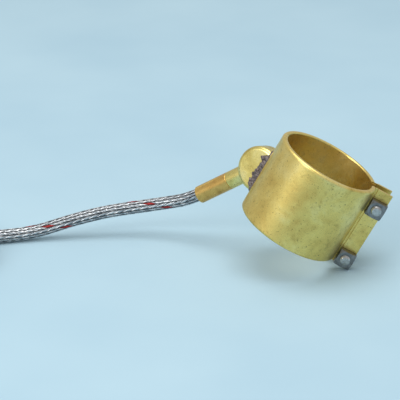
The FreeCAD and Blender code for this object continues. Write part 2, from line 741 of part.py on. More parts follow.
for line, side in (("line", 1), ("neutral", -1)):
    core_line = EXIT_PLACE * Placement(Vector(0, side * number(RIBBON_LEG), 0), Rotation())
    turned(
        f"{line}_core", core_line,
        core_corners("sizes.ConductorStart", "sizes.BarrelEnd", "sizes.LeadStart"),
    )
earth_line = EXIT_PLACE * Placement(Vector(size("EarthOffset"), 0, 0), Rotation())
tag_end = "(sizes.EarthTagStart + sizes.EarthTagLength)"
earth_core = turned(
    "earth_core", earth_line, core_corners("sizes.EarthTagStart", tag_end, "sizes.LeadStart")
)
neck_inside = f"({NECK_RADIUS} - sizes.NeckWall - sizes.LayerClearance)"
tag_outside = f"sqrt({neck_inside} ^ 2 - (sizes.EarthTagWidth / 2) ^ 2)"
tag_inside = "(sizes.EarthOffset + sizes.ConductorDiameter / 2)"
earth_tag = part(
    "Box", "earth_tag",
    {
        "Length": f"{tag_outside} - {tag_inside}", "Width": "sizes.EarthTagWidth",
        "Height": "sizes.EarthTagLength",
    },
    EXIT_PLACE
    * Placement(
        Vector(number(tag_inside), -size("EarthTagWidth") / 2, size("EarthTagStart")), Rotation()
    ),
)

# Cement fills the cap round the barrels, up to the neck.
cement_place = CAP_PLACE * Placement(
    Vector(0, size("CapWall") - size("CapWidth") / 2, 0), Rotation(Vector(1, 0, 0), -90)
)
cement_blank = part(
    "Cylinder", "cement_blank",
    {
        "Radius": "sizes.CapRadius - sizes.CapWall - sizes.LayerClearance",
        "Height": "sizes.CapWidth - sizes.CapWall * 2",
    },
    cement_place,
)
cement_seat = band_core("cement_seat", f"{OUTER_RADIUS} + sizes.LayerClearance")
cement_mouth = part(
    "Cylinder", "cement_mouth",
    {"Radius": f"{NECK_RADIUS} + sizes.LayerClearance", "Height": "sizes.NeckEnd"},
    EXIT_PLACE * Placement(Vector(0, 0, size("NeckStart")), Rotation()),
)
channels = []
for line, x, y in (
    ("line", 0, number(RIBBON_LEG)),
    ("neutral", 0, -number(RIBBON_LEG)),
    ("earth", size("EarthOffset"), 0),
):
    channels.append(part(
        "Cylinder", f"{line}_channel",
        {
            "Radius": "sizes.BarrelDiameter / 2 + sizes.LayerClearance",
            "Height": "sizes.CapRadius * 2",
        },
        EXIT_PLACE * Placement(Vector(x, y, -size("CapRadius")), Rotation()),
    ))
cap_cement = cut("cap_cement", cement_blank, [cement_seat, cement_mouth, *channels])


# The lead leaves the sleeve, sags to the floor and runs along it to a coil of what is left over.
def tube(label, points, diameter):
    """A round tube along straight runs joined by arcs, each as large as its two runs allow."""
    edges = []
    radii = []
    start = points[0]
    for before, corner, after in zip(points, points[1:], points[2:]):
        run_in = corner - before
        run_out = after - corner
        turn = run_in.getAngle(run_out)
        reach = 0.45 * min(run_in.Length, run_out.Length)
        radius = reach / math.tan(turn / 2)
        arc_start = corner - run_in * (reach / run_in.Length)
        arc_end = corner + run_out * (reach / run_out.Length)
        inward = (arc_start + arc_end) * 0.5 - corner
        middle = corner + inward * ((radius / math.cos(turn / 2) - radius) / inward.Length)
        edges.append(Part.LineSegment(start, arc_start).toShape())
        edges.append(Part.Arc(arc_start, middle, arc_end).toShape())
        radii.append(radius)
        start = arc_end
    edges.append(Part.LineSegment(start, points[-1]).toShape())
    path = doc.addObject("Part::Feature", f"{label}_path")
    path.Shape = Part.Wire(edges)
    facing = Placement(points[0], Rotation(Vector(0, 0, 1), points[1] - points[0]))
    section = part("Circle", f"{label}_section", {"Radius": f"{diameter} / 2"}, facing)
    sweep = doc.addObject("Part::Sweep", label)
    sweep.Sections = [section]
    sweep.Spine = (path, [])
    sweep.Solid = True
    doc.recompute()
    expected = math.pi * (number(diameter) / 2) ** 2 * path.Shape.Length
    if abs(sweep.Shape.Volume / expected - 1) > 0.002:
        raise RuntimeError(f"{label} has {sweep.Shape.Volume}, not {expected}")
    print(label, "length", round(path.Shape.Length, 2), "radii", [round(r, 1) for r in radii])
    return sweep


def lying(x, y, lift):
    """A point of the lead whose underside is so far above the floor."""
    return Vector(x, y, FLOOR + number(LEAD_RADIUS) + lift)


lead_route = [
    EXIT_PLACE * Vector(0, 0, size("LeadStart")),
    EXIT_PLACE * Vector(0, 0, size("LeadStart") + 18),
    lying(-68, 32.2, 14.3),
    lying(-83, 33.2, 11.4),
    lying(-99, 31.5, 9.2),
    lying(-115, 28.6, 5.6),
    lying(-132, 25, 0.7),
    lying(-149, 20.6, 0),
    lying(-161, 19.4, 0),
    lying(-173, 19.3, 0),
    lying(-184, 20.1, 0),
]
lead_tube = tube("lead_tube", lead_route, "sizes.LeadDiameter")

# The coil is a ring of the turns' outer form, drawn in where the tie goes round it.
coil_place = Placement(Vector(size("CoilCentreX"), size("CoilCentreY"), FLOOR), Rotation())
ring_outside = number("sizes.CoilRadius + sizes.LeadDiameter")
ring_inside = number("sizes.CoilRadius - sizes.LeadDiameter")
coil_ring = turned(
    "coil_ring", coil_place,
    tube_corners(
        "sizes.CoilRadius - sizes.LeadDiameter", "sizes.CoilRadius + sizes.LeadDiameter",
        "0", "sizes.LeadDiameter * 2",
    ),
)
dress(
    coil_ring, "coil_rounds", coil_ring.Tip, "Fillet", LEAD_RADIUS,
    lambda e: any(
        on_circle(e, radius, height)
        for radius in (ring_outside, ring_inside)
        for height in (0, size("LeadDiameter") * 2)
    ),
)


def tie_section(name, inset):
    """A bar across the ring of the tie's width and the turns' outline less an inset."""
    place = coil_place * Placement(Vector(), Rotation(Vector(0, 0, 1), size("TieAzimuth")))
    corner = Vector(
        ring_inside + number(inset), -size("TieWidth") / 2, number(inset)
    )
    bar = part(
        "Box", f"{name}_bar",
        {
            "Length": f"(sizes.LeadDiameter - {inset}) * 2", "Width": "sizes.TieWidth",
            "Height": f"(sizes.LeadDiameter - {inset}) * 2",
        },
        place * Placement(corner, Rotation()),
    )
    rounded = doc.addObject("Part::Fillet", name)
    rounded.Base = bar
    radius = number(LEAD_RADIUS) - number(inset)
    along = place.Rotation.multVec(Vector(0, 1, 0))
    rounded.Edges = [
        (index, radius, radius)
        for index, edge in enumerate(bar.Shape.Edges, start=1)
        if abs(edge.tangentAt(edge.FirstParameter).dot(along)) > 0.999
    ]
    doc.recompute()
    return rounded


tie_outside = tie_section("tie_outside", "0")
tie_inside = tie_section("tie_inside", "sizes.TieThickness")
coil_tie = cut("coil_tie", tie_outside, [tie_inside])
ring_gap = part(
    "Box", "ring_gap",
    {
        "Length": "sizes.LeadDiameter * 4", "Width": "sizes.TieWidth",
        "Height": "sizes.LeadDiameter * 2",
    },
    coil_place
    * Placement(Vector(), Rotation(Vector(0, 0, 1), size("TieAzimuth")))
    * Placement(Vector(ring_inside - size("LeadDiameter"), -size("TieWidth") / 2, 0), Rotation()),
)
open_ring = cut("open_ring", coil_ring, [ring_gap])
lead_coil = doc.addObject("Part::Fuse", "lead_coil")
lead_coil.Base = open_ring
lead_coil.Tool = tie_inside

# The lead's far end comes off the top of the coil, passes over the incoming lead and down beside the
# coil, with an end sleeve and the three cores bared and ferruled.
tail_lift = size("EndSleeveDiameter") / 2 - number(LEAD_RADIUS)
tail_route = [
    lying(-161.5, -27.2, 6.3),
    lying(-156.9, -15.8, 6.3),
    lying(-156, -3.5, 6.4),
    lying(-159.2, 8.4, 6.8),
    lying(-166.1, 18.6, 7),
    lying(-175.8, 26.2, 7),
    lying(-187.4, 30.4, 5.9),
    lying(-199.7, 31.3, 4.2),
    lying(-211.7, 28.7, 2.5),
    lying(-222.6, 22.9, 1.2),
    lying(-231.4, 14.4, tail_lift),
    lying(-237.5, 3.8, tail_lift),
]
lead_tail = tube("lead_tail", tail_route, "sizes.LeadDiameter")
tail_run = tail_route[-1] - tail_route[-2]
end_place = Placement(
    tail_route[-1],
    Rotation(Vector(0, 0, 1).cross(tail_run), Vector(0, 0, 1), tail_run, "ZYX"),
)
end_sleeve = turned(
    "end_sleeve", end_place,
    tube_corners(
        sleeve_bore, "sizes.EndSleeveDiameter / 2", "-sizes.EndSleeveGrip",
        "sizes.EndSleeveLength - sizes.EndSleeveGrip",
    ),
)
for line, x, start, middle, low, splay in (
    ("line", 1, 0.6, -0.15, -1.4, 2.6),
    ("neutral", -1, 0.6, -0.15, -1.4, -2.6),
    ("earth", 0, -1.2, -1.4, -1.9, 0.3),
):
    across = x * size("WireSpread")
    wire_route = [
        end_place * Vector(across, start, 0),
        end_place * Vector(across, start, 9),
        end_place * Vector(across + splay * 0.6, middle, 19),
        end_place * Vector(across + splay * 1.8, low, 29),
    ]
    cover = tube(f"{line}_cover", wire_route, "sizes.CoreDiameter")
    last_run = wire_route[-1] - wire_route[-2]
    bare_place = Placement(wire_route[-1], Rotation(Vector(0, 0, 1), last_run))
    bare_end = part(
        "Cylinder", f"{line}_bare_end",
        {"Radius": "sizes.ConductorDiameter / 2", "Height": "sizes.FerruleLength"}, bare_place,
    )
    wire = doc.addObject("Part::Fuse", f"{line}_wire")
    wire.Base = cover
    wire.Tool = bare_end
    turned(
        f"{line}_ferrule", bare_place,
        tube_corners(
            "sizes.ConductorDiameter / 2 + sizes.BarrelFit", "sizes.FerruleDiameter / 2",
            "0", "sizes.FerruleLength",
        ),
    )

NODES = [
    "outer_sheath", "inner_sheath", "inner_mica", "outer_mica", "heating_ribbon",
    "clamp_screw_upper", "clamp_screw_lower", "washer_upper", "washer_lower",
    "square_nut_upper", "square_nut_lower",
    "terminal_cap", "braze_bead", "cap_neck", "crimp_sleeve", "cap_cement",
    "line_tab", "neutral_tab", "line_barrel", "neutral_barrel",
    "line_core", "neutral_core", "earth_core", "earth_tag",
    "lead_tube", "lead_coil", "coil_tie", "lead_tail", "end_sleeve",
    "line_wire", "neutral_wire", "earth_wire",
    "line_ferrule", "neutral_ferrule", "earth_ferrule",
]

doc.recompute()
failed = [item.Name for item in doc.Objects if "Invalid" in item.State or "Error" in item.State]
if failed:
    raise RuntimeError(f"failed objects: {failed}")
pieces = {}
for node in NODES:
    found = doc.getObjectsByLabel(node)
    if len(found) != 1:
        raise RuntimeError(f"{node} is the label of {len(found)} objects")
    shape = found[0].Shape
    if shape.isNull() or not shape.isValid() or len(shape.Solids) != 1:
        raise RuntimeError(f"{node} is not one valid solid")
    pieces[node] = shape

os.makedirs("parts", exist_ok=True)
for node, shape in pieces.items():
    shape.exportStep(f"parts/{node}.step")
print(len(pieces), "pieces, floor at", round(FLOOR, 3))
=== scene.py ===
import math

import bmesh
import bpy
from mathutils import Matrix, Vector, noise


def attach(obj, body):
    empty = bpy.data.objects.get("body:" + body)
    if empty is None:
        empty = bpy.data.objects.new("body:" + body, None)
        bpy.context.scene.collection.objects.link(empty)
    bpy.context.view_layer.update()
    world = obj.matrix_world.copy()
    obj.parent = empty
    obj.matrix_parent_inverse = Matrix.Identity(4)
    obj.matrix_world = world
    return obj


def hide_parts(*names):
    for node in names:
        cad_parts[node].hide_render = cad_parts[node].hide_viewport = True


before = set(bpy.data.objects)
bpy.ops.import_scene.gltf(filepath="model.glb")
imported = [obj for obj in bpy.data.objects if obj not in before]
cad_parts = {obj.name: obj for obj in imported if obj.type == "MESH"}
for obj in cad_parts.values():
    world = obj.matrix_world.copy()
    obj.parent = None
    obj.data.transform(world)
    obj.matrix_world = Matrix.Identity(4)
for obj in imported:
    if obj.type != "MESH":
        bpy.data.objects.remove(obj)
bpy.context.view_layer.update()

# The camera stands a metre off with a long lens, a little to the left of the band and 21.6 degrees
# above it.
camera_data = bpy.data.cameras.new("camera")
camera_data.lens = 192.8
camera_data.sensor_width = 36
camera_data.clip_start = 0.05
camera_data.clip_end = 20
camera = bpy.data.objects.new("camera", camera_data)
camera.location = (-0.01345, -0.93177, 0.36634)
camera.rotation_euler = (math.radians(90 - 21.6), 0, math.radians(2.3))
bpy.context.collection.objects.link(camera)
bpy.context.scene.camera = camera

# The lead: three cores in a braid of fine steel wire with red tracer ends worked in. It sags from the
# crimp sleeve to the floor, runs along it and is wound up two turns wide and two high, all but its end.
FLOOR = -0.034756
LEAD = 0.0063


def lying(x, y, lift):
    return Vector((x, y, FLOOR + LEAD / 2 + lift))


lead_route = [
    Vector((-0.041696, 0.023343, -0.004008)),
    Vector((-0.05598, 0.028677, -0.013575)),
    lying(-0.068, 0.0322, 0.0143),
    lying(-0.083, 0.0332, 0.0114),
    lying(-0.099, 0.0315, 0.0092),
    lying(-0.115, 0.0286, 0.0056),
    lying(-0.132, 0.025, 0.0007),
    lying(-0.149, 0.0206, 0),
    lying(-0.161, 0.0194, 0),
    lying(-0.173, 0.0193, 0),
    lying(-0.184, 0.0201, 0),
]
# The turns, as degrees round the coil from its right, each with its radius and lift.
coil_centre = (-0.196, -0.016)
coil_keys = [
    (90, 0.036, 0), (400, 0.036, 0), (445, 0.0297, 0), (730, 0.0297, 0), (800, 0.0297, LEAD),
    (1060, 0.0297, LEAD), (1110, 0.036, LEAD), (1420, 0.036, LEAD),
]
for step in range(7, 95):
    degrees = step * 15 - 5
    for (low, r_low, z_low), (high, r_high, z_high) in zip(coil_keys, coil_keys[1:]):
        if low <= degrees <= high:
            share = (degrees - low) / (high - low)
            share = share * share * (3 - 2 * share)
            radius = r_low + (r_high - r_low) * share
            lift = z_low + (z_high - z_low) * share
    angle = math.radians(degrees)
    lead_route.append(
        lying(
            coil_centre[0] + radius * math.cos(angle), coil_centre[1] + radius * math.sin(angle), lift
        )
    )
tail_lift = 0.00055
lead_route += [
    lying(-0.1615, -0.0272, 0.0063),
    lying(-0.1569, -0.0158, 0.0063),
    lying(-0.156, -0.0035, 0.0064),
    lying(-0.1592, 0.0084, 0.0068),
    lying(-0.1661, 0.0186, 0.007),
    lying(-0.1758, 0.0262, 0.007),
    lying(-0.1874, 0.0304, 0.0059),
    lying(-0.1997, 0.0313, 0.0042),
    lying(-0.2117, 0.0287, 0.0025),
    lying(-0.2226, 0.0229, 0.0012),
    lying(-0.2314, 0.0144, tail_lift),
    lying(-0.2375, 0.0038, tail_lift),
]
line_curve = bpy.data.curves.new("lead_line", "CURVE")
line_curve.dimensions = "3D"
line_curve.resolution_u = 12
spline = line_curve.splines.new("NURBS")
spline.points.add(len(lead_route) - 1)
for point, place in zip(spline.points, lead_route):
    point.co = (*place, 1)
spline.order_u = 3
spline.use_endpoint_u = True
lead_line = bpy.data.objects.new("lead_line", line_curve)
bpy.context.collection.objects.link(lead_line)

# The braid's wires follow points read from the lead's own line, spaced evenly.
rail = bpy.data.meshes.new_from_object(lead_line)
rail_points = [vertex.co.copy() for vertex in rail.vertices]
bpy.data.meshes.remove(rail)
BRAID_STEP = 0.0007
stations = [rail_points[0]]
travelled = 0
due = BRAID_STEP
for before, after in zip(rail_points, rail_points[1:]):
    run = (after - before).length
    while run and travelled + run >= due:
        stations.append(before.lerp(after, (due - travelled) / run))
        due += BRAID_STEP
    travelled += run
# Each station's two directions across the lead, carried along it without twist.
up = Vector((0, 0, 1))
crossways = []
for index, place in enumerate(stations):
    along = stations[min(index + 1, len(stations) - 1)] - stations[max(index - 1, 0)]
    along.normalize()
    up = (up - along * up.dot(along)).normalized()
    crossways.append((along, up.copy(), along.cross(up)))

# A braider with 24 carriers, 12 each way, lays the flat ends two over and two under. Along the lead
# the floats lie in rows: an end rides high or low by where it is round the lead and by its hand.
CARRIERS = 12
BRAID_PITCH = 0.051
BRAID_RADIUS = 0.00289
BRAID_WAVE = 0.00015
END_WIDTH = 0.00142
END_CROWN = 0.00013
slope = math.atan(2 * math.pi * BRAID_RADIUS / BRAID_PITCH)


def braid_ends(label, hand):
    """The ends of one hand, as closed flat ribbons with their width on U and their run on V."""
    verts, faces, uvs, tracer_faces, rides = [], [], [], [], []
    for carrier in range(CARRIERS):
        first = len(verts)
        for index, place in enumerate(stations):
            along, across, side = crossways[index]
            run = index * BRAID_STEP
            turn = 2 * math.pi * (hand * run / BRAID_PITCH + carrier / CARRIERS) + 0.4
            for share, crown in ((-0.5, 0), (-0.22, END_CROWN), (0.22, END_CROWN), (0.5, 0)):
                offset = share * END_WIDTH
                slip = -hand * math.sin(slope) * offset
                angle = turn + math.cos(slope) * offset / BRAID_RADIUS
                height = max(-1, min(1, 1.7 * math.cos(angle * 6)))
                rides.append(hand * height)
                radius = BRAID_RADIUS + hand * BRAID_WAVE * height + crown
                spot = across * math.cos(angle) + side * math.sin(angle)
                verts.append(place + along * slip + spot * radius)
        for index in range(len(stations) - 1):
            row = first + index * 4
            for corner in range(4):
                following = (corner + 1) % 4
                faces.append((row + corner, row + following, row + 4 + following, row + 4 + corner))
                tracer_faces.append(hand == 1 and carrier == 0)
                across_u = (corner / 3, following / 3) if corner < 3 else (1, 0)
                run = index * BRAID_STEP
                uvs += [
                    (across_u[0], run), (across_u[1], run),
                    (across_u[1], run + BRAID_STEP), (across_u[0], run + BRAID_STEP),
                ]
        for row, turned in ((first, (3, 2, 1, 0)), (len(verts) - 4, (0, 1, 2, 3))):
            faces.append(tuple(row + corner for corner in turned))
            tracer_faces.append(False)
            uvs += [(0, 0)] * 4
    mesh = bpy.data.meshes.new(label)
    mesh.from_pydata(verts, [], faces)
    # The heights are kept on the mesh as "ride", which the braid's material turns into painted shade.
    layer = mesh.attributes.new("ride", "FLOAT", "POINT")
    layer.data.foreach_set("value", rides)
    layer = mesh.uv_layers.new(name="UVMap")
    for loop, uv in zip(layer.data, uvs):
        loop.uv = uv
    for face, traced in zip(mesh.polygons, tracer_faces):
        face.material_index = int(traced)
        face.use_smooth = True
    piece = bpy.data.objects.new(label, mesh)
    bpy.context.collection.objects.link(piece)
    bpy.context.view_layer.objects.active = piece
    piece.select_set(True)
    bpy.ops.object.mode_set(mode="EDIT")
    bpy.ops.mesh.select_all(action="SELECT")
    bpy.ops.mesh.normals_make_consistent(inside=False)
    bpy.ops.object.mode_set(mode="OBJECT")
    piece.select_set(False)
    return piece


bpy.ops.object.select_all(action="DESELECT")
braid_right = braid_ends("braid_right", 1)
braid_left = braid_ends("braid_left", -1)


def add(tree, kind, **values):
    """A node, with capitalised values set on its sockets and the others on the node."""
    made = tree.nodes.new(kind)
    for key, value in values.items():
        if key[0].isupper():
            made.inputs[key.replace("_", " ")].default_value = value
        else:
            setattr(made, key, value)
    return made


def finish(name, **constants):
    """A material whose constants sit on the shader's own sockets, with its tree and shader."""
    material = bpy.data.materials.new(name)
    material.use_nodes = True
    shader = material.node_tree.nodes["Principled BSDF"]
    for key, value in constants.items():
        shader.inputs[key.replace("_", " ")].default_value = value
    return material, material.node_tree, shader


def ramp(tree, source, *stops):
    """A colour ramp over a source, each stop a position and a colour or a grey."""
    made = tree.nodes.new("ShaderNodeValToRGB")
    while len(made.color_ramp.elements) < len(stops):
        made.color_ramp.elements.new(0.5)
    for element, (position, colour) in zip(made.color_ramp.elements, stops):
        element.position = position
        grey = isinstance(colour, (int, float))
        element.color = (colour, colour, colour, 1) if grey else (*colour, 1)
    tree.links.new(source, made.inputs["Fac"])
    return made.outputs["Color"]


def bump(tree, shader, *heights):
    """Bumps laid one on another, each a height source, a strength and a distance in metres."""
    before = None
    for source, strength, distance in heights:
        made = add(tree, "ShaderNodeBump", Strength=strength, Distance=distance)
        tree.links.new(source, made.inputs["Height"])
        if before is not None:
            tree.links.new(before.outputs["Normal"], made.inputs["Normal"])
        before = made
    tree.links.new(before.outputs["Normal"], shader.inputs["Normal"])


def end_finish(name, tones, wires, **constants):
    """The braid's ends: fine wires or yarns side by side along each end, with painted shade in grooves
    and dips.
    """
    material, tree, shader = finish(name, **constants)
    uv = add(tree, "ShaderNodeUVMap", uv_map="UVMap")
    parts = add(tree, "ShaderNodeSeparateXYZ")
    tree.links.new(uv.outputs["UV"], parts.inputs["Vector"])
    scaled = add(tree, "ShaderNodeMath", operation="MULTIPLY")
    scaled.inputs[1].default_value = wires * 2 * math.pi
    tree.links.new(parts.outputs["X"], scaled.inputs[0])
    wave = add(tree, "ShaderNodeMath", operation="COSINE")
    tree.links.new(scaled.outputs["Value"], wave.inputs[0])
    groove = add(tree, "ShaderNodeMapRange", From_Min=-1.0, From_Max=1.0, To_Min=1.0, To_Max=0.0)
    tree.links.new(wave.outputs["Value"], groove.inputs["Value"])
    place = add(tree, "ShaderNodeTexCoord")
    grime = add(tree, "ShaderNodeTexNoise", Scale=260.0, Detail=4.0, Roughness=0.6)
    tree.links.new(place.outputs["Object"], grime.inputs["Vector"])
    tone = ramp(tree, grime.outputs["Fac"], (0.3, tones[0]), (0.52, tones[1]), (0.7, tones[2]))
    # Painted shade: an end is much darker where it dips under the other hand and full bright on its
    # crown.
    ride = add(tree, "ShaderNodeAttribute", attribute_name="ride")
    dip_shade = add(tree, "ShaderNodeMapRange", From_Min=-1.0, From_Max=1.0)
    tree.links.new(ride.outputs["Fac"], dip_shade.inputs["Value"])
    # Painted shade, multiplied into the tone: darker in each groove between wires and at the end's
    # edges.
    for shade in (
        ramp(tree, groove.outputs["Result"], (0.0, 0.55), (0.3, 1.0)),
        ramp(tree, dip_shade.outputs["Result"], (0.45, 0.07), (0.85, 0.4), (1.0, 1.0)),
    ):
        mixed = add(tree, "ShaderNodeMix", data_type="RGBA", blend_type="MULTIPLY")
        mixed.inputs["Factor"].default_value = 1.0
        tree.links.new(tone, mixed.inputs["A"])
        tree.links.new(shade, mixed.inputs["B"])
        tone = mixed.outputs["Result"]
    tree.links.new(tone, shader.inputs["Base Color"])
    bump(tree, shader, (groove.outputs["Result"], 0.4, 0.00006))
    return material


tinned_wire = end_finish(
    "tinned_wire", [(0.36, 0.4, 0.44), (0.72, 0.75, 0.78), (0.95, 0.96, 0.97)], 5,
    Metallic=1.0, Roughness=0.38,
)
red_tracer = end_finish(
    "red_tracer", [(0.3, 0.01, 0.012), (0.5, 0.02, 0.02), (0.62, 0.05, 0.04)], 3, Roughness=0.75,
)
for piece in (braid_right, braid_left):
    piece.data.materials.append(tinned_wire)
    piece.data.materials.append(red_tracer)
    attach(piece, "band")

glass_sleeve, tree, shader = finish("glass_sleeve", Roughness=0.8)
place = add(tree, "ShaderNodeTexCoord")
weave = add(tree, "ShaderNodeTexVoronoi", Scale=1400.0)
tree.links.new(place.outputs["Object"], weave.inputs["Vector"])
tree.links.new(
    ramp(tree, weave.outputs["Distance"], (0.0, (0.03, 0.034, 0.04)), (0.6, (0.07, 0.078, 0.09))),
    shader.inputs["Base Color"],
)
bump(tree, shader, (weave.outputs["Distance"], 0.5, 0.0001))
line_curve.bevel_depth = 0.00272
line_curve.bevel_resolution = 6
line_curve.use_fill_caps = True
line_curve.materials.append(glass_sleeve)
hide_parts("lead_tube", "lead_coil", "lead_tail")
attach(lead_line, "band")

# The coil is held by a black nylon strap drawn round the turns, smooth with fine ribs across it.
tie_nylon, tree, shader = finish("tie_nylon", Roughness=0.42)
place = add(tree, "ShaderNodeTexCoord")
turned = add(tree, "ShaderNodeMapping")
turned.inputs["Rotation"].default_value = (0, 0, math.radians(-215))
tree.links.new(place.outputs["Object"], turned.inputs["Vector"])
ribs = add(
    tree, "ShaderNodeTexWave", wave_type="BANDS", bands_direction="Y", Scale=420.0, Distortion=0.0
)
tree.links.new(turned.outputs["Vector"], ribs.inputs["Vector"])
scuffs = add(tree, "ShaderNodeTexNoise", Scale=700.0, Detail=5.0)
tree.links.new(place.outputs["Object"], scuffs.inputs["Vector"])
tree.links.new(
    ramp(tree, scuffs.outputs["Fac"], (0.35, (0.012, 0.012, 0.013)), (0.7, (0.035, 0.035, 0.037))),
    shader.inputs["Base Color"],
)
bump(tree, shader, (ribs.outputs["Fac"], 0.35, 0.0002), (scuffs.outputs["Fac"], 0.15, 0.0001))
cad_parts["coil_tie"].data.materials.clear()
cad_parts["coil_tie"].data.materials.append(tie_nylon)

# The lead's far end: a shrunk end sleeve, and three cores in glass-braid insulation whose bared ends
# have tinned ferrules pressed on.
def weave_finish(name, low, high, scale, roughness, stripe=None):
    """Woven insulation, with a tracer colour in patches where a core has one."""
    material, tree, shader = finish(name, Roughness=roughness)
    place = add(tree, "ShaderNodeTexCoord")
    yarns = add(tree, "ShaderNodeTexVoronoi", Scale=scale)
    tree.links.new(place.outputs["Object"], yarns.inputs["Vector"])
    tone = ramp(tree, yarns.outputs["Distance"], (0.1, high), (0.75, low))
    if stripe is not None:
        bands = add(tree, "ShaderNodeTexWave", bands_direction="DIAGONAL", Scale=160.0, Distortion=0.6)
        tree.links.new(place.outputs["Object"], bands.inputs["Vector"])
        share = ramp(tree, bands.outputs["Fac"], (0.5, 0.0), (0.56, 1.0))
        mixed = add(tree, "ShaderNodeMix", data_type="RGBA")
        mixed.inputs["B"].default_value = (*stripe, 1)
        tree.links.new(share, mixed.inputs["Factor"])
        tree.links.new(tone, mixed.inputs["A"])
        tone = mixed.outputs["Result"]
    tree.links.new(tone, shader.inputs["Base Color"])
    bump(tree, shader, (yarns.outputs["Distance"], 0.5, 0.0001))
    return material


core_brown = weave_finish("core_brown", (0.05, 0.018, 0.008), (0.14, 0.06, 0.03), 2600.0, 0.7)
core_blue = weave_finish("core_blue", (0.012, 0.04, 0.16), (0.03, 0.11, 0.36), 2600.0, 0.7)
core_earth = weave_finish(
    "core_earth", (0.015, 0.12, 0.02), (0.04, 0.26, 0.05), 2600.0, 0.7, stripe=(0.7, 0.6, 0.04)
)
end_black = weave_finish("end_black", (0.012, 0.012, 0.013), (0.03, 0.03, 0.032), 900.0, 0.5)
ferrule_tin, tree, shader = finish("ferrule_tin", Metallic=1.0, Roughness=0.3)
place = add(tree, "ShaderNodeTexCoord")
smears = add(tree, "ShaderNodeTexNoise", Scale=900.0, Detail=5.0)
tree.links.new(place.outputs["Object"], smears.inputs["Vector"])
tree.links.new(
    ramp(tree, smears.outputs["Fac"], (0.35, (0.5, 0.5, 0.51)), (0.65, (0.78, 0.78, 0.79))),
    shader.inputs["Base Color"],
)
bump(tree, shader, (smears.outputs["Fac"], 0.3, 0.0001))


def dress(material, *labels):
    """Gives CAD nodes a better material."""
    for label in labels:
        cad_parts[label].data.materials.clear()
        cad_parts[label].data.materials.append(material)


dress(end_black, "end_sleeve")
dress(core_brown, "line_wire", "line_core")
dress(core_blue, "neutral_wire", "neutral_core")
dress(core_earth, "earth_wire", "earth_core")
dress(ferrule_tin, "line_ferrule", "neutral_ferrule", "earth_ferrule")

# The sheath: one strip of brass sheet rolled round with its rims turned in, and its ends turned out
# into the clamp lugs and hemmed. It is worn satin, spotted by heat and hand, and browned by the braze.
LEAN = Matrix.Rotation(math.radians(28.8), 4, "Y")
BAND_RADIUS = 0.025
CAP_AZIMUTH = math.radians(146)
cap_place = LEAN @ Matrix.Rotation(CAP_AZIMUTH, 4, "Z") @ Matrix.Translation((0.02748, 0, -0.0042))
cap_foot = cap_place @ Vector((-0.0025, 0, 0))


